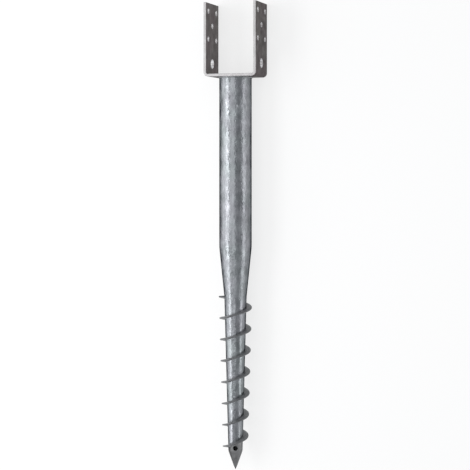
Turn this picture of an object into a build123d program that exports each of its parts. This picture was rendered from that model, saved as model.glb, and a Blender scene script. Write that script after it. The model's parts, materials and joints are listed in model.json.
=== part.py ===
"""Foundation ground screw with a welded post fork, in millimetres.

A swaged steel tube carries a U-shaped fork on its head and a helical flight on its slender shank.
It lies on its side: the screw axis runs along X, with the fork's open end at +X and the point at -X,
and the long edges of the fork's flat bar rest on the floor at Z = 0.
"""

import os
from math import atan, cos, degrees, radians, sin

from build123d import *

# Post fork: one flat bar bent to a U
POST_GAP = 91.0  # clear width between the ears
BAR_WIDTH = 70.0
BAR_THICKNESS = 5.0
BAR_EDGE_RADIUS = 0.6
EAR_HEIGHT = 132.0  # from the seat to the ears' ends
BEND_RADIUS = 3.0  # inside the bends

# Holes in the fork
BOLT_HOLE_DIAMETER = 10.0
BOLT_ROW_SPACING = 52.0  # along the ear
BOLT_COLUMN_SPACING = 44.0  # across the ear
BOLT_END_DISTANCE = 15.5  # from the ear's end to the first row
DRIVE_HOLE_DIAMETER = 17.0  # takes the bar that turns the screw into the ground
DRIVE_HOLE_HEIGHT = 20.0  # above the seat
VENT_DIAMETER = 14.0  # lets air and molten zinc out of the tube's head

# Swaged tube
TUBE_DIAMETER = 60.3
TUBE_WALL = 2.5
HEAD_LENGTH = 316.0  # straight part below the fork
SHOULDER_LENGTH = 92.0  # steep taper
SHANK_LENGTH = 285.0  # slight taper that carries the flight
POINT_LENGTH = 35.0
SHANK_TOP_DIAMETER = 41.3
SHANK_END_DIAMETER = 26.3
TIP_DIAMETER = 1.2
SHOULDER_BLEND_RADIUS = 60.0  # where the head turns into the shoulder
POINT_BLEND_RADIUS = 8.0
POINT_CLOSURE = 12.0  # solid metal behind the tip
DRAIN_DIAMETER = 9.0
DRAIN_SETBACK = 7.0  # from the start of the point, up the shank
DRAIN_ANGLE = 17.0  # from straight up, towards -Y

# Flight: a flat strip wound on edge round the shank
FLIGHT_PITCH = 39.6
FLIGHT_WIDTH = 10.4  # how far it stands out of the shank
FLIGHT_ROOT_THICKNESS = 2.8
FLIGHT_RIM_THICKNESS = 2.2
FLIGHT_START_SETBACK = 5.9  # from the start of the point, up the shank
FLIGHT_START_ANGLE = -1.0  # from +Y, towards +Z
FLIGHT_OVERRUN = 1.4  # past the top of the shank, on to the shoulder

# Welds
FORK_WELD_LEG = 2.5
FLIGHT_WELD_LEG = 2.2
WELD_CROWN = 0.4  # how far a bead bulges past the straight line between its toes
WELD_SEAM = 0.05  # between the bead and the flight's face
TRIM_STOCK = 1.5  # root metal that is cut back to the shank's own surface
SEAM_TURNS = (0, 75, 150, 225, 300)  # angles tried for the seam of the form that trims it

# Places along X, from the fork's open end to the tip
total_length = EAR_HEIGHT + BAR_THICKNESS + HEAD_LENGTH + SHOULDER_LENGTH + SHANK_LENGTH + POINT_LENGTH
ear_end_x = total_length / 2
seat_x = ear_end_x - EAR_HEIGHT
head_x = seat_x - BAR_THICKNESS
shoulder_x = head_x - HEAD_LENGTH
shank_x = shoulder_x - SHOULDER_LENGTH
point_x = shank_x - SHANK_LENGTH
tip_x = point_x - POINT_LENGTH

# The screw's axis is half a bar width above the floor
axis_height = BAR_WIDTH / 2
screw_axis = Axis((0, 0, axis_height), (1, 0, 0))
half_section = Plane((0, 0, axis_height), x_dir=(1, 0, 0), z_dir=(0, -1, 0))

tube_radius = TUBE_DIAMETER / 2
shank_top_radius = SHANK_TOP_DIAMETER / 2
shank_end_radius = SHANK_END_DIAMETER / 2


def swaged_form(depth, end_x, end_radius, blended=False):
    """Solid of revolution at a depth below the tube's outer surface, out to a given end."""
    with BuildPart() as form:
        with BuildSketch(half_section) as outline:
            with BuildLine():
                Polyline(
                    (head_x, 0),
                    (head_x, tube_radius - depth),
                    (shoulder_x, tube_radius - depth),
                    (shank_x, shank_top_radius - depth),
                    (point_x, shank_end_radius - depth),
                    (end_x, end_radius),
                    (end_x, 0),
                    close=True,
                )
            make_face()
            if blended:
                at_point = outline.vertices().sort_by_distance((point_x, shank_end_radius - depth))[0]
                fillet(at_point, POINT_BLEND_RADIUS)
                at_shoulder = outline.vertices().sort_by_distance((shoulder_x, tube_radius - depth))[0]
                fillet(at_shoulder, SHOULDER_BLEND_RADIUS)
        revolve(axis=screw_axis)
    return form.part


# The tube is drawn down to the shank, closed to a point and drained by one hole in its wall
tip_radius = TIP_DIAMETER / 2
outer_form = swaged_form(0, tip_x, tip_radius, blended=True)
bore_form = swaged_form(TUBE_WALL, tip_x + POINT_CLOSURE, tip_radius, blended=True)
drain_direction = (0, -sin(radians(DRAIN_ANGLE)), cos(radians(DRAIN_ANGLE)))
drain_plane = Plane((point_x + DRAIN_SETBACK, 0, axis_height), x_dir=(1, 0, 0), z_dir=drain_direction)

with BuildPart() as ground_tube:
    add(outer_form)
    add(bore_form, mode=Mode.SUBTRACT)
    with BuildSketch(drain_plane):
        Circle(DRAIN_DIAMETER / 2)
    extrude(amount=tube_radius, mode=Mode.SUBTRACT)

# The fork is one flat bar, punched and then bent twice, with its holes in line across both ears
half_span = (POST_GAP + BAR_THICKNESS) / 2
base_middle_x = seat_x - BAR_THICKNESS / 2
bolt_centre_x = ear_end_x - BOLT_END_DISTANCE - BOLT_ROW_SPACING / 2
drive_hole_x = seat_x + DRIVE_HOLE_HEIGHT
head_plane = Plane((head_x, 0, axis_height), x_dir=(0, 1, 0), z_dir=(1, 0, 0))

with BuildPart() as post_fork:
    with BuildSketch():
        with BuildLine():
            FilletPolyline(
                (ear_end_x, half_span),
                (base_middle_x, half_span),
                (base_middle_x, -half_span),
                (ear_end_x, -half_span),
                radius=BEND_RADIUS + BAR_THICKNESS / 2,
            )
        trace(line_width=BAR_THICKNESS)
    extrude(amount=BAR_WIDTH)
    bar_sides = post_fork.faces().filter_by(Axis.Z)
    fillet(bar_sides.edges(), BAR_EDGE_RADIUS)
    with BuildSketch(Plane.XZ):
        with Locations((bolt_centre_x, axis_height)):
            Circle(BOLT_HOLE_DIAMETER / 2)
            with GridLocations(BOLT_ROW_SPACING, BOLT_COLUMN_SPACING, 2, 2):
                Circle(BOLT_HOLE_DIAMETER / 2)
        with Locations((drive_hole_x, axis_height)):
            Circle(DRIVE_HOLE_DIAMETER / 2)
    extrude(amount=POST_GAP, both=True, mode=Mode.SUBTRACT)
    with BuildSketch(head_plane):
        Circle(VENT_DIAMETER / 2)
    extrude(amount=BAR_THICKNESS, mode=Mode.SUBTRACT)

# A fillet weld runs all round the tube's head, under the fork's base
with BuildPart() as fork_weld:
    with BuildSketch(half_section):
        with BuildLine():
            toe_on_bar = (head_x, tube_radius + FORK_WELD_LEG)
            toe_on_tube = (head_x - FORK_WELD_LEG, tube_radius)
            SagittaArc(toe_on_bar, toe_on_tube, -WELD_CROWN)
            Polyline(toe_on_tube, (head_x, tube_radius), toe_on_bar)
        make_face()
    revolve(axis=screw_axis)

# The flight follows a helix that lies on the shank's cone, right-handed seen along the screw axis.
# Its strip and its weld are cut back to the shank's plain cone.
shank_form = swaged_form(0, tip_x, tip_radius)
shank_taper = (shank_top_radius - shank_end_radius) / SHANK_LENGTH
flight_start_x = point_x + FLIGHT_START_SETBACK
flight_length = SHANK_LENGTH - FLIGHT_START_SETBACK + FLIGHT_OVERRUN
start_angle = radians(FLIGHT_START_ANGLE)
start_direction = Vector(0, cos(start_angle), sin(start_angle))
flight_base = Plane((flight_start_x, 0, axis_height), x_dir=start_direction, z_dir=(1, 0, 0))
root_helix = flight_base * Helix(
    FLIGHT_PITCH,
    flight_length,
    shank_end_radius + shank_taper * FLIGHT_START_SETBACK,
    cone_angle=degrees(atan(shank_taper)),
)
root_section = Plane(root_helix @ 0, x_dir=start_direction, z_dir=-(root_helix % 0))


def seated(strip):
    """The swept strip without what lies inside the shank, whose seam is turned until the cut comes out whole."""
    for seam_turn in SEAM_TURNS:
        outside = strip - shank_form.rotate(screw_axis, seam_turn)
        if outside.solids():
            break
    return outside


half_root = FLIGHT_ROOT_THICKNESS / 2
half_rim = FLIGHT_RIM_THICKNESS / 2
with BuildPart() as flight_strip:
    with BuildSketch(root_section):
        with BuildLine():
            Polyline(
                (-TRIM_STOCK, -half_root),
                (0, -half_root),
                (FLIGHT_WIDTH, -half_rim),
                (FLIGHT_WIDTH, half_rim),
                (0, half_root),
                (-TRIM_STOCK, half_root),
                close=True,
            )
        make_face()
    sweep(path=root_helix, is_frenet=True)
with BuildPart() as screw_flight:
    add(seated(flight_strip.part))

# One bead along the flight's underside joins it to the shank
bead_foot = -half_root - WELD_SEAM
flank_lean = (half_root - half_rim) / FLIGHT_WIDTH
bead_top = (FLIGHT_WELD_LEG, bead_foot + flank_lean * FLIGHT_WELD_LEG)
bead_toe = (0, bead_foot - FLIGHT_WELD_LEG)
with BuildPart() as bead_strip:
    with BuildSketch(root_section):
        with BuildLine():
            Polyline(bead_toe, (-TRIM_STOCK, bead_toe[1]), (-TRIM_STOCK, bead_foot), (0, bead_foot), bead_top)
            SagittaArc(bead_top, bead_toe, WELD_CROWN)
        make_face()
    sweep(path=root_helix, is_frenet=True)
with BuildPart() as flight_weld:
    add(seated(bead_strip.part))

ground_tube.part.label = "ground_tube"
post_fork.part.label = "post_fork"
fork_weld.part.label = "fork_weld"
screw_flight.part.label = "screw_flight"
flight_weld.part.label = "flight_weld"

os.makedirs("parts", exist_ok=True)
export_step(ground_tube.part, "parts/ground_tube.step")
export_step(post_fork.part, "parts/post_fork.step")
export_step(fork_weld.part, "parts/fork_weld.step")
export_step(screw_flight.part, "parts/screw_flight.step")
export_step(flight_weld.part, "parts/flight_weld.step")
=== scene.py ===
"""Looks of a hot-dip galvanised ground screw that lies on its side, in metres, in the CAD part's frame."""

import json
import math

import bmesh
import bpy
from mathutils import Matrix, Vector, noise


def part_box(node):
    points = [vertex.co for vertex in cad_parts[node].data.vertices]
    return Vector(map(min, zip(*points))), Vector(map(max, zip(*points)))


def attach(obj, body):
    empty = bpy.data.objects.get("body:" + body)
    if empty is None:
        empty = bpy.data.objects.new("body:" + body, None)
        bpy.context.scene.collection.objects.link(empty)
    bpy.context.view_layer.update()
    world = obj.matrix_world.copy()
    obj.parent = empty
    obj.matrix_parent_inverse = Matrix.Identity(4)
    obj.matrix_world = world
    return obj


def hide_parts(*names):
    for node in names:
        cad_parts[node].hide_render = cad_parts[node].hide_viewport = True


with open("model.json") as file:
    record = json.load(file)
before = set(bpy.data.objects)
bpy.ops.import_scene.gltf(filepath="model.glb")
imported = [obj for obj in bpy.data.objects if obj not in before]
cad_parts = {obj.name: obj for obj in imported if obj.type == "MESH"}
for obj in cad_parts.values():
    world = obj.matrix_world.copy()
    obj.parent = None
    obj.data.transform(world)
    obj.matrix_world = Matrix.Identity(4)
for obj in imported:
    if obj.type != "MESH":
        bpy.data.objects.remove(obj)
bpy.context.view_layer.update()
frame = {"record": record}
mounts = {mount["name"]: mount for mount in frame["record"]["mounts"]}
MM = 0.001


# Swaged tube: one round steel tube, straight at the head, drawn down over a shoulder to a slender shank
# and forged shut to a point. It is hollow, has one drain hole near the point and was dipped in molten
# zinc, which left a slightly uneven bright skin with spangle and lengthwise runs.
tube_low, tube_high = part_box("ground_tube")
axis_z = (tube_low.z + tube_high.z) / 2
head_x = tube_high.x
tip_x = tube_low.x
head_radius = (tube_high.y - tube_low.y) / 2
shoulder_x = head_x - 316 * MM
shank_x = shoulder_x - 92 * MM
point_x = tip_x + 35 * MM
shank_top_radius = 20.65 * MM
shank_end_radius = 13.15 * MM
tip_radius = 0.6 * MM
tube_wall = 2.5 * MM
point_closure = 12 * MM
shoulder_blend = 7 * MM
point_blend = 2.5 * MM
blend_segments = 5
tube_sides = 144
ring_spacing = 8 * MM
drain_radius = 4.5 * MM
drain_angle = math.radians(17)
drain_x = point_x + 7 * MM
hole_sides = 48
near = 0.05 * MM


def select_only(piece=None):
    """Leaves edit mode and selects this piece alone, or nothing, so that an operator acts on it alone."""
    if bpy.context.object and bpy.context.object.mode != "OBJECT":
        bpy.ops.object.mode_set(mode="OBJECT")
    bpy.ops.object.select_all(action="DESELECT")
    if piece:
        piece.select_set(True)
        bpy.context.view_layer.objects.active = piece


def keep_place_in_mesh(piece):
    """Moves the piece's place into its mesh, so that its object sits at the origin."""
    select_only(piece)
    bpy.ops.object.transform_apply(location=True, rotation=True, scale=True)


def choose(piece, test, kind="verts"):
    """Selects, in edit mode, the vertices, edges or faces whose middle passes the test."""
    mesh = bmesh.from_edit_mesh(piece.data)
    for element in (*mesh.verts, *mesh.edges, *mesh.faces):
        element.select_set(False)
    for element in getattr(mesh, kind):
        if kind == "verts":
            middle = element.co
        else:
            middle = sum((vert.co for vert in element.verts), Vector()) / len(element.verts)
        if test(middle):
            element.select_set(True)
    mesh.select_flush_mode()
    bmesh.update_edit_mesh(piece.data)


def on_ring(ring_x, radius):
    """A test for what lies on one ring round the screw's axis."""
    return lambda co: abs(co.x - ring_x) < near and abs(math.hypot(co.y, co.z - axis_z) - radius) < near


def steps_between(stations, spacing):
    """The stations of a turned outline, with more of them along each straight stretch."""
    out = [stations[0]]
    for (x0, r0), (x1, r1) in zip(stations, stations[1:]):
        count = max(1, round(math.hypot(x1 - x0, r1 - r0) / spacing))
        out += [(x0 + (x1 - x0) * i / count, r0 + (r1 - r0) * i / count) for i in range(1, count + 1)]
    return out


def cut_hole(piece, radius, length, middle, rotation):
    """Cuts a round hole through the piece."""
    select_only()
    bpy.ops.mesh.primitive_cylinder_add(
        vertices=hole_sides, radius=radius, depth=length, location=middle, rotation=rotation
    )
    punch = bpy.context.object
    cut = piece.modifiers.new("cut", "BOOLEAN")
    cut.object = punch
    cut.solver = "EXACT"
    select_only(piece)
    bpy.ops.object.modifier_apply(modifier=cut.name)
    bpy.data.objects.remove(punch)


def smooth(piece, degrees=35):
    """Shades the piece smooth, apart from its sharp edges."""
    select_only(piece)
    bpy.ops.object.shade_smooth_by_angle(angle=math.radians(degrees))


bore = [
    (tip_x + point_closure, tip_radius),
    (point_x, shank_end_radius - tube_wall),
    (shank_x, shank_top_radius - tube_wall),
    (shoulder_x, head_radius - tube_wall),
    (head_x, head_radius - tube_wall),
]
skin = [
    (head_x, head_radius),
    (shoulder_x, head_radius),
    (shank_x, shank_top_radius),
    (point_x, shank_end_radius),
    (tip_x, tip_radius),
]
outline = bore + steps_between(skin, ring_spacing)

# The outline is drawn out ring by ring, from the bore's closed end to the tip
bore_x, bore_radius = outline[0]
select_only()
bpy.ops.mesh.primitive_circle_add(
    vertices=tube_sides, radius=1, location=(bore_x, 0, axis_z), rotation=(0, math.pi / 2, 0)
)
tube = bpy.context.object
tube.name = "swaged_tube"
tube.scale = (bore_radius,) * 3
keep_place_in_mesh(tube)
bpy.ops.object.mode_set(mode="EDIT")
bpy.ops.mesh.select_all(action="SELECT")
for (x0, r0), (x1, r1) in zip(outline, outline[1:]):
    bpy.ops.mesh.extrude_region_move(TRANSFORM_OT_translate={"value": (x1 - x0, 0, 0)})
    bpy.ops.transform.resize(value=(1, r1 / r0, r1 / r0), center_override=(x1, 0, axis_z))
bpy.ops.mesh.merge(type="CENTER")
choose(tube, on_ring(bore_x, bore_radius))
bpy.ops.mesh.merge(type="CENTER")
corners = ((shoulder_x, head_radius, shoulder_blend), (point_x, shank_end_radius, point_blend))
for corner_x, corner_radius, reach in corners:
    choose(tube, on_ring(corner_x, corner_radius), kind="edges")
    bpy.ops.mesh.bevel(offset=reach, segments=blend_segments, affect="EDGES")
bpy.ops.mesh.select_all(action="SELECT")
bpy.ops.mesh.normals_make_consistent(inside=False)
drain_middle = (
    drain_x,
    -math.sin(drain_angle) * head_radius / 2,
    axis_z + math.cos(drain_angle) * head_radius / 2,
)
cut_hole(tube, drain_radius, head_radius, drain_middle, (drain_angle, 0, 0))
smooth(tube)


class Finish:
    """One material that is built of nodes, with short ways to add and join them."""

    def __init__(self, name):
        self.material = bpy.data.materials.new(name)
        self.material.use_nodes = True
        self.nodes = self.material.node_tree.nodes
        self.shader = self.nodes["Principled BSDF"]
        self.colour = None
        self.dull = None

    def link(self, value, socket):
        """Sets a socket to a number or a colour, or links it to another node's output."""
        if isinstance(value, tuple) and socket.type == "RGBA":
            socket.default_value = (*value, 1)
        elif isinstance(value, (int, float, tuple)):
            socket.default_value = value
        else:
            self.material.node_tree.links.new(value, socket)

    def node(self, kind, inputs, output=0, **settings):
        """Adds a node, fills its inputs and returns one of its outputs."""
        node = self.nodes.new("ShaderNode" + kind)
        for name, value in settings.items():
            setattr(node, name, value)
        for socket, value in inputs.items():
            self.link(value, node.inputs[socket])
        return node.outputs[output]

    def place(self, along=1):
        """The place on the object, in metres. A low along draws a texture out along the screw."""
        here = self.node("TexCoord", {}, "Object")
        return self.node("Mapping", {"Vector": here, "Scale": (along, 1, 1)})

    def cloud(self, scale, detail, along=1):
        """Soft noise round 0.5, with about this many clouds a metre."""
        noise_inputs = {"Vector": self.place(along), "Scale": scale, "Detail": detail}
        return self.node("TexNoise", noise_inputs, "Fac")

    def spread(self, value, low, high, start=0.35, end=0.65):
        """Spreads a value's range from start to end out to a range from low to high."""
        reach = {"Value": value, "From Min": start, "From Max": end, "To Min": low, "To Max": high}
        return self.node("MapRange", reach, "Result")

    def total(self, *values):
        """Adds values up."""
        sum_so_far = values[0]
        for value in values[1:]:
            sum_so_far = self.node("Math", {0: sum_so_far, 1: value}, operation="ADD")
        return sum_so_far

    def product(self, first, second):
        """Multiplies two values."""
        return self.node("Math", {0: first, 1: second}, operation="MULTIPLY")

    def mix(self, share, first, second, blend="MIX"):
        """Mixes two colours by a share, or multiplies them."""
        return self.node("Mix", {0: share, 6: first, 7: second}, 2, data_type="RGBA", blend_type=blend)


def zinc_relief(finish):
    """The height of zinc that ran and froze, in millimetres: waves, ripples, frozen drops and fine grain."""
    waves = finish.spread(finish.cloud(30, detail=1, along=0.35), 0, 0.22)
    ripples = finish.spread(finish.cloud(110, detail=2, along=0.6), 0, 0.15)
    small_ripples = finish.spread(finish.cloud(260, detail=1, along=0.7), 0, 0.14)
    grain = finish.spread(finish.cloud(700, detail=2), 0, 0.012)
    cells = {"Vector": finish.place(along=0.55), "Scale": 60, "Smoothness": 0.1}
    from_middle = finish.node("TexVoronoi", cells, "Distance", feature="SMOOTH_F1")
    cell_colour = finish.node("TexVoronoi", cells, "Color", feature="SMOOTH_F1")
    which_cell = finish.node("SeparateColor", {"Color": cell_colour}, "Red")
    drop = finish.spread(from_middle, 1, 0, 0, 0.2)
    drops = finish.product(finish.product(drop, drop), finish.spread(which_cell, 0, 0.7, 0.35, 1))
    return finish.total(waves, ripples, small_ripples, drops, grain)


def zinc(name, dark, light, rough, patch_scale=40, uneven=1.0, metal=1.0, edge_shine=0.0):
    """Hot-dip galvanised zinc: cloudy patches, lengthwise runs, blots and faint spangle between two greys.

    rough is the range of its roughness, uneven scales its relief, and edge_shine is what is left of its
    shine where a face turns away.
    """
    finish = Finish(name)
    patches = finish.cloud(patch_scale, detail=4)
    runs = finish.cloud(170, detail=3, along=0.08)
    blots = finish.cloud(150, detail=3, along=0.5)
    crystals = finish.node("TexVoronoi", {"Vector": finish.place(), "Scale": 260}, "Color")
    spangle_light = finish.node("SeparateColor", {"Color": crystals}, "Red")
    spangle_dull = finish.node("SeparateColor", {"Color": crystals}, "Green")
    shade = finish.total(
        finish.spread(patches, -0.05, 0.35),
        finish.spread(runs, 0, 0.33),
        finish.spread(blots, 0, 0.33),
        finish.spread(spangle_light, 0, 0.1, 0, 1),
    )
    tint = finish.spread(finish.cloud(26, detail=2), 0, 1)
    cast = finish.mix(tint, (1.0, 0.98, 1.0), (0.965, 1.0, 0.98))
    finish.colour = finish.mix(1.0, finish.mix(shade, dark, light), cast, "MULTIPLY")
    flecks = finish.spread(finish.cloud(120, detail=2, along=0.5), 0, 0.6)
    cloudiness = finish.total(flecks, finish.spread(patches, 0, 0.4))
    finish.dull = finish.total(
        finish.spread(cloudiness, *rough, 0.15, 0.85), finish.spread(spangle_dull, -0.03, 0.03, 0, 1)
    )
    relief = {"Height": zinc_relief(finish), "Strength": uneven, "Distance": 1 * MM}
    finish.link(finish.node("Bump", relief), finish.shader.inputs["Normal"])
    finish.link(metal, finish.shader.inputs["Metallic"])
    finish.link((edge_shine,) * 3, finish.shader.inputs["Specular Tint"])
    return finish


def mark_cut_edges(finish, cut_edge_colour, cut_dull=0.0):
    """Gives the faces that the piece marks as cut edges a colour of their own and more roughness."""
    mark = finish.node("Attribute", {}, "Fac", attribute_name="cut_edge")
    finish.colour = finish.mix(mark, finish.colour, cut_edge_colour)
    finish.dull = finish.total(finish.dull, finish.spread(mark, 0, cut_dull, 0, 1))


def forge_end(finish, end_x):
    """Makes the skin dull and dark below a slanting line across X, where the tube was forged, and paints
    side shade on it: darker towards +Y and lighter towards -Y.
    """
    slant = 0.45
    half_width = 0.6 * MM
    added_roughness = 0.35
    here = finish.place()
    x = finish.node("SeparateXYZ", {"Vector": here}, "X")
    y = finish.node("SeparateXYZ", {"Vector": here}, "Y")
    line = finish.node("Math", {0: y, 1: slant, 2: x}, operation="MULTIPLY_ADD")
    wobble = finish.spread(finish.cloud(40, detail=4), -0.8 * MM, 0.8 * MM)
    forged = finish.spread(finish.total(line, wobble), 1, 0, end_x - half_width, end_x + half_width)
    # Painted side shade: the forged point's colour runs from dark on its +Y side to light on its -Y side,
    # standing in for how light falls on its facets.
    across = finish.spread(y, 0, 1, 8 * MM, -4 * MM)
    forge_scale_and_painted_side_shade = finish.mix(across, (0.13, 0.13, 0.133), (0.28, 0.28, 0.284))
    blots = finish.spread(finish.cloud(150, detail=3, along=0.5), 0, 1)
    blotched = finish.mix(1.0, forge_scale_and_painted_side_shade, finish.mix(blots, (0.8, 0.8, 0.8), (1.1, 1.1, 1.1)), "MULTIPLY")
    finish.colour = finish.mix(forged, finish.colour, blotched)
    finish.dull = finish.total(finish.dull, finish.spread(forged, 0, added_roughness, 0, 1))


def finish_piece(piece, finish, slot, *nodes):
    """Gives a piece its finish and lets it stand for its CAD nodes."""
    finish.link(finish.colour, finish.shader.inputs["Base Color"])
    finish.link(finish.dull, finish.shader.inputs["Roughness"])
    piece.data.materials.clear()
    piece.data.materials.append(finish.material)
    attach(piece, "root")
    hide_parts(*nodes)


forge_x = tip_x + 50.7 * MM
tube_zinc = zinc("bright_zinc", (0.163, 0.17, 0.18), (0.327, 0.34, 0.356), rough=(0.17, 0.42))
forge_end(tube_zinc, forge_x)
finish_piece(tube, tube_zinc, "zinc_tube", "ground_tube")


# Post fork: one flat steel bar, punched with twelve holes and a vent, then bent twice to a U and welded on
# the tube's head. Its faces are dull dark zinc. Its cut edges are painted lighter, partly a brighter cut
# finish and partly painted highlight, and the walls of the drive-bar hole and the vent are painted lightest,
# as painted light where they sit in shade.
fork_low, fork_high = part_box("post_fork")
bar_thickness = 5 * MM
bar_width = fork_high.z - fork_low.z
bar_middle_z = (fork_low.z + fork_high.z) / 2
edge_rounding = 0.7 * MM
rounding_segments = 3
bend_radius = 3 * MM
bend_steps = 10
base_middle_x = fork_low.x + bar_thickness / 2
ear_end_x = fork_high.x
ear_out_y = fork_high.y
bend_x = fork_low.x + bar_thickness + bend_radius
bend_y = ear_out_y - bar_thickness - bend_radius
vent_radius = 7 * MM

bolts = mounts["left_ear_bolts"]
bolt_x, _, bolt_z = bolts["pos_m"]
bolt_radius = bolts["dims"]["hole_r_mm"] * MM
half_row = bolts["dims"]["spacing_x_mm"] * MM / 2
half_column = bolts["dims"]["spacing_y_mm"] * MM / 2
drive_x, _, drive_z = mounts["drive_bar_hole"]["pos_m"]
drive_radius = mounts["drive_bar_hole"]["dims"]["r_mm"] * MM

# The bar's end is drawn along one ear, round a bend, along the base, round the other bend and up again
select_only()
bpy.ops.mesh.primitive_plane_add(
    size=1, location=(ear_end_x, ear_out_y - bar_thickness / 2, bar_middle_z), rotation=(0, math.pi / 2, 0)
)
fork = bpy.context.object
fork.name = "bent_fork"
fork.scale = (bar_width, bar_thickness, 1)
keep_place_in_mesh(fork)
bpy.ops.object.mode_set(mode="EDIT")
bpy.ops.mesh.select_all(action="SELECT")
bpy.ops.mesh.extrude_region_move(TRANSFORM_OT_translate={"value": (bend_x - ear_end_x, 0, 0)})
bpy.ops.mesh.spin(steps=bend_steps, angle=-math.pi / 2, center=(bend_x, bend_y, 0), axis=(0, 0, 1))
bpy.ops.mesh.extrude_region_move(TRANSFORM_OT_translate={"value": (0, -2 * bend_y, 0)})
bpy.ops.mesh.spin(steps=bend_steps, angle=-math.pi / 2, center=(bend_x, -bend_y, 0), axis=(0, 0, 1))
bpy.ops.mesh.extrude_region_move(TRANSFORM_OT_translate={"value": (ear_end_x - bend_x, 0, 0)})
bpy.ops.mesh.select_all(action="SELECT")
bpy.ops.mesh.remove_doubles(threshold=0.01 * MM)
bpy.ops.mesh.normals_make_consistent(inside=False)
bpy.ops.object.mode_set(mode="OBJECT")
rounding = fork.modifiers.new("rounded_edges", "BEVEL")
rounding.width = edge_rounding
rounding.segments = rounding_segments
rounding.limit_method = "ANGLE"
rounding.angle_limit = math.radians(50)
bpy.ops.object.modifier_apply(modifier=rounding.name)

punches = [
    (bolt_x + row * half_row, bolt_z + column * half_column, bolt_radius)
    for row in (-1, 1)
    for column in (-1, 1)
]
punches += [(bolt_x, bolt_z, bolt_radius), (drive_x, drive_z, drive_radius)]
for hole_x, hole_z, hole_radius in punches:
    cut_hole(fork, hole_radius, 3 * ear_out_y, (hole_x, 0, hole_z), (math.pi / 2, 0, 0))
cut_hole(fork, vent_radius, 4 * bar_thickness, (base_middle_x, 0, axis_z), (0, math.pi / 2, 0))
smooth(fork, 40)
flat_faces = fork.modifiers.new("flat_faces", "WEIGHTED_NORMAL")
flat_faces.keep_sharp = True
bpy.ops.object.modifier_apply(modifier=flat_faces.name)


def fork_edge_and_painted_light_mark(face):
    """How much lighter than the fork's flat faces this face is painted, from 0 to 1: partly a brighter cut
    finish, partly painted light, strongest on the drive-bar hole and vent walls.
    """
    long_edge_mark = 0.32
    ear_edge_mark = 0.68
    within_base = abs(face.center.x - base_middle_x) < bar_thickness * 0.49
    in_vent = within_base and abs(face.center.y) < vent_radius + MM
    on_ear_edge = face.center.x > bend_x and abs(face.normal.y) < 0.7
    in_drive_hole = on_ear_edge and face.center.x < drive_x + drive_radius + MM
    if abs(face.normal.z) > 0.9:
        return long_edge_mark
    if in_vent or in_drive_hole:
        return 1.0
    return ear_edge_mark * on_ear_edge


fork_cut_and_painted_light = fork.data.attributes.new("cut_edge", "FLOAT", "FACE")
for face in fork.data.polygons:
    fork_cut_and_painted_light.data[face.index].value = fork_edge_and_painted_light_mark(face)
fork_zinc = zinc(
    "dull_zinc",
    (0.197, 0.182, 0.181),
    (0.307, 0.285, 0.284),
    rough=(0.34, 0.46),
    patch_scale=60,
    uneven=0.4,
    edge_shine=0.2,
)
# Painted light: the marked edges are mixed towards a near-white colour, and the drive-bar hole and vent
# walls get all of it, lifting them where they sit in shade.
mark_cut_edges(fork_zinc, (0.88, 0.88, 0.89), cut_dull=0.35)
finish_piece(fork, fork_zinc, "zinc_fork", "post_fork")


# Flight: one flat steel strip wound on edge round the shank for about seven turns, thinner at its rim,
# square-cut at both ends and welded on before the dip.
flight_pitch = 39.6 * MM
flight_width = 10.4 * MM
flight_root = 2.8 * MM
flight_rim = 2.2 * MM
rim_rounding = 0.6 * MM
root_depth = 1 * MM
flight_start_x = point_x + 5.9 * MM
flight_length = shank_x + 1.4 * MM - flight_start_x
flight_start_angle = math.radians(-1)
shank_taper = (shank_top_radius - shank_end_radius) / (shank_x - point_x)
start_radius = shank_end_radius + shank_taper * (flight_start_x - point_x)
flight_turns = flight_length / flight_pitch
turn_steps = 120


def wind(name, section, steps_a_turn):
    """Winds a closed section, given as (out of the shank, along the axis), on the shank's cone."""
    select_only()
    bpy.ops.mesh.primitive_circle_add(vertices=len(section), radius=1, fill_type="NGON")
    piece = bpy.context.object
    piece.name = name
    for vert, (out, along) in zip(piece.data.vertices, section):
        radius = start_radius + out
        vert.co = (along, radius * math.cos(flight_start_angle), radius * math.sin(flight_start_angle))
    winding = piece.modifiers.new("winding", "SCREW")
    winding.axis = "X"
    winding.angle = 2 * math.pi * flight_turns
    winding.screw_offset = flight_length
    winding.steps = round(steps_a_turn * flight_turns)
    winding.render_steps = winding.steps
    winding.use_smooth_shade = True
    bpy.ops.object.mode_set(mode="EDIT")
    bpy.ops.mesh.select_all(action="SELECT")
    bpy.ops.mesh.delete(type="ONLY_FACE")
    bpy.ops.object.mode_set(mode="OBJECT")
    bpy.ops.object.modifier_apply(modifier=winding.name)
    for vert in piece.data.vertices:
        reach = math.hypot(vert.co.y, vert.co.z)
        growth = (reach + shank_taper * vert.co.x) / reach
        vert.co.y *= growth
        vert.co.z *= growth
    piece.location = (flight_start_x, 0, axis_z)
    keep_place_in_mesh(piece)
    bpy.ops.object.mode_set(mode="EDIT")
    bpy.ops.mesh.select_all(action="DESELECT")
    bpy.ops.mesh.select_non_manifold()
    bpy.ops.mesh.edge_face_add()
    bpy.ops.mesh.select_all(action="SELECT")
    bpy.ops.mesh.normals_make_consistent(inside=False)
    bpy.ops.object.mode_set(mode="OBJECT")
    return piece


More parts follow.
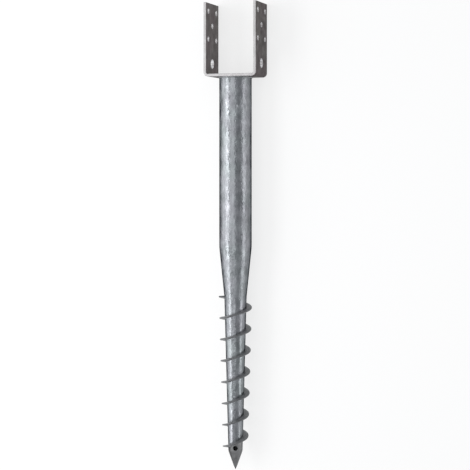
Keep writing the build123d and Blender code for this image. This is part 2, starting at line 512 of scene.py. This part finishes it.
half_root = flight_root / 2
half_rim = flight_rim / 2
lower_side = [
    (-root_depth, -half_root),
    (flight_width / 2, -(half_root + half_rim) / 2),
    (flight_width - rim_rounding, -half_rim),
    (flight_width - rim_rounding / 4, -half_rim + rim_rounding / 2),
]
upper_side = [(out, -along) for out, along in reversed(lower_side)]
flight = wind("wound_flight", lower_side + [(flight_width, 0)] + upper_side, turn_steps)
smooth(flight, 40)
rim_band = 0.7 * MM
rim_mark = flight.data.attributes.new("cut_edge", "FLOAT", "FACE")
for face in flight.data.polygons:
    reach = math.hypot(face.center.y, face.center.z - axis_z)
    rim_radius = shank_end_radius + shank_taper * (face.center.x - point_x) + flight_width
    rim_mark.data[face.index].value = float(reach > rim_radius - rim_band)
# Partly painted shade: the flight's zinc, rim included, is painted darker than the tube's. This is partly a
# duller zinc and partly stands in for the shade its faces reflect under the shank.
flight_zinc = zinc(
    "flight_zinc",
    (0.09, 0.092, 0.095),
    (0.18, 0.183, 0.188),
    rough=(0.36, 0.48),
    patch_scale=80,
    uneven=0.5,
    metal=0.3,
    edge_shine=1.0,
)
mark_cut_edges(flight_zinc, (0.12, 0.122, 0.127))
finish_piece(flight, flight_zinc, "zinc_flight", "screw_flight")


# Flight weld: one bead of weld metal along the flight's underside, rippled where each drop froze over the
# one before it.
weld_leg = 2.2 * MM
bead_depth = 0.8 * MM
bead_end = 3.5 * MM
bead_steps = 320
bead_ripples = 42
ripple_height = 0.26 * MM
ripple_bend = 0.6
ripple_skew = 1.6
ripple_unevenness = 0.35


def ripple(piece, ripples_a_turn, across=lambda co: 0.0):
    """Raises a ripple where each drop of weld metal froze over the one before it.

    across gives how far a point lies from the bead's middle line, from -1 to 1, which bends the ripples.
    """
    mesh = piece.data
    normals = [vert.normal.copy() for vert in mesh.vertices]
    for vert, normal in zip(mesh.vertices, normals):
        turn = math.atan2(vert.co.z - axis_z, vert.co.y) / (2 * math.pi)
        uneven = ripple_unevenness * noise.noise(vert.co * 220)
        phase = (turn * ripples_a_turn + ripple_bend * across(vert.co) ** 2 + uneven) % 1
        vert.co += normal * ripple_height * (math.sin(math.pi * phase ** ripple_skew) - 0.6)


def round_ends(piece, reach):
    """Draws a wound bead's two ends down into the corner that it fills, over the given reach along it."""
    end_fullness = 0.15
    for vert in piece.data.vertices:
        radius = math.hypot(vert.co.y, vert.co.z - axis_z)
        angle = math.atan2(vert.co.z - axis_z, vert.co.y) - flight_start_angle
        along = (vert.co.x + half_root - flight_start_x) / flight_pitch
        turns = angle / (2 * math.pi)
        turns += round(along - turns)
        from_end = min(turns, flight_turns - turns) * 2 * math.pi * radius
        share = min(1, max(0, from_end / reach))
        fullness = end_fullness + (1 - end_fullness) * math.sqrt(1 - (1 - share) ** 2)
        corner_x = flight_start_x + turns * flight_pitch - half_root
        corner_radius = start_radius + shank_taper * turns * flight_pitch
        drawn = corner_radius + (radius - corner_radius) * fullness
        vert.co.x = corner_x + (vert.co.x - corner_x) * fullness
        vert.co.y *= drawn / radius
        vert.co.z = axis_z + (vert.co.z - axis_z) * drawn / radius


bead = wind(
    "flight_bead",
    [
        (-bead_depth, -half_root + bead_depth / 2),
        (weld_leg * 0.8, -half_root + bead_depth / 4),
        (weld_leg * 0.8, -half_root - bead_depth / 8),
        (weld_leg * 0.42, -half_root - weld_leg * 0.2),
        (weld_leg * 0.16, -half_root - weld_leg * 0.46),
        (bead_depth / 8, -half_root - weld_leg * 0.85),
        (-bead_depth, -half_root - weld_leg * 0.9),
    ],
    bead_steps,
)
ripple(bead, bead_ripples)
round_ends(bead, bead_end)
smooth(bead, 60)
# Partly painted light: the weld beads' zinc is painted lighter than the tube's, lifting the shade in the
# corners under the fork's base and under the flight.
weld_zinc = zinc(
    "weld_zinc",
    (0.24, 0.246, 0.255),
    (0.38, 0.387, 0.397),
    rough=(0.34, 0.46),
    patch_scale=120,
    edge_shine=0.5,
)
finish_piece(bead, weld_zinc, "zinc_weld", "flight_weld")


# Head weld: a fillet bead of weld metal all round the tube's head, under the fork's base, with its ripples
# curved across it. A good part of the round bead lies inside the tube's wall and the base.
head_leg = 2.5 * MM
ring_offset = head_leg * 0.3
ring_thickness = head_leg * 0.62
ring_ripples = 76


def across_ring(co):
    """How far a point lies from the ring bead's middle line, from the tube's side to the base's."""
    return (math.hypot(co.y, co.z - axis_z) - head_radius - (head_x - co.x)) / head_leg


select_only()
bpy.ops.mesh.primitive_torus_add(
    major_segments=256,
    minor_segments=16,
    major_radius=head_radius + ring_offset,
    minor_radius=ring_thickness,
    location=(head_x - ring_offset, 0, axis_z),
    rotation=(0, math.pi / 2, 0),
)
ring = bpy.context.object
ring.name = "head_bead"
keep_place_in_mesh(ring)
finer = ring.modifiers.new("finer", "SUBSURF")
finer.levels = 1
bpy.ops.object.modifier_apply(modifier=finer.name)
ripple(ring, ring_ripples, across_ring)
smooth(ring, 60)
finish_piece(ring, weld_zinc, "zinc_weld", "fork_weld")


# Studio: a pale floor, a long soft panel high on the fork's left with a wider, weaker one round it, one
# straight above, a low one on the right and an even sky.
floor_half = 12
select_only()
bpy.ops.mesh.primitive_plane_add(size=2 * floor_half, location=(0, 0, 0))
floor = bpy.context.object
floor.name = "floor"
pale = Finish("pale_floor")
pale.link((0.9, 0.9, 0.9), pale.shader.inputs["Base Color"])
pale.link(0.9, pale.shader.inputs["Roughness"])
pale.link(0.0, pale.shader.inputs["Specular IOR Level"])
white_share = 0.72
camera_ray = pale.node("LightPath", {}, "Is Camera Ray")
glossy_ray = pale.node("LightPath", {}, "Is Glossy Ray")
transmission_ray = pale.node("LightPath", {}, "Is Transmission Ray")
seen = pale.node("Math", {0: camera_ray, 1: glossy_ray}, operation="MAXIMUM")
seen = pale.node("Math", {0: seen, 1: transmission_ray}, operation="MAXIMUM")
white = pale.node("Emission", {})
floor_look = pale.node(
    "MixShader", {0: pale.product(seen, white_share), 1: pale.shader.outputs["BSDF"], 2: white}
)
pale.link(floor_look, pale.nodes["Material Output"].inputs["Surface"])
floor.data.materials.append(pale.material)

sky = bpy.data.worlds.new("studio_sky")
bpy.context.scene.world = sky
sky.use_nodes = True
sky.node_tree.nodes["Background"].inputs["Color"].default_value = (0.56, 0.572, 0.588, 1)
sky.node_tree.nodes["Background"].inputs["Strength"].default_value = 1.0


def panel(name, lean, distance, along, across, centre_x, brightness):
    """A soft panel that leans from straight up towards +Y, in degrees, and faces the screw's axis."""
    lean = math.radians(lean)
    lamp = bpy.data.lights.new(name, "AREA")
    lamp.shape = "RECTANGLE"
    lamp.size = along
    lamp.size_y = across
    lamp.energy = brightness * math.pi * along * across
    holder = bpy.data.objects.new(name, lamp)
    bpy.context.scene.collection.objects.link(holder)
    holder.location = (centre_x, math.sin(lean) * distance, axis_z + math.cos(lean) * distance)
    holder.rotation_euler = (-lean, 0, 0)
    holder.visible_camera = False


panel("key_panel", lean=41, distance=1.3, along=2.0, across=0.38, centre_x=-0.1, brightness=3.2)
panel("wide_panel", lean=66, distance=1.5, along=2.0, across=1.3, centre_x=-0.1, brightness=1.4)
panel("top_panel", lean=3, distance=1.7, along=1.8, across=1.15, centre_x=0.27, brightness=1.0)
panel("low_panel", lean=-81, distance=1.5, along=2.0, across=0.55, centre_x=-0.1, brightness=1.55)


# Camera: square to the screw's axis and turned round it towards the fork's right ear.
focal_px = 1250
scale_on_axis = 1.8557 * MM
image_px = 470
camera_turn = math.radians(18.4)
horizon_px = 147.5
axis_px = 235.5
tip_px = 469.3
camera_distance = focal_px * scale_on_axis
lens = bpy.data.cameras.new("camera")
lens.sensor_width = 36
lens.lens = lens.sensor_width * focal_px / image_px
lens.shift_x = -(axis_px - image_px / 2) / image_px
lens.shift_y = (horizon_px - image_px / 2) / image_px
lens.clip_end = 100
camera = bpy.data.objects.new("camera", lens)
bpy.context.scene.collection.objects.link(camera)
camera.location = (
    tip_x + (tip_px - horizon_px) * scale_on_axis,
    -math.sin(camera_turn) * camera_distance,
    axis_z + math.cos(camera_turn) * camera_distance,
)
camera.rotation_euler = (0, camera_turn, -math.pi / 2)
bpy.context.scene.camera = camera
bpy.context.scene.view_settings.view_transform = "Standard"
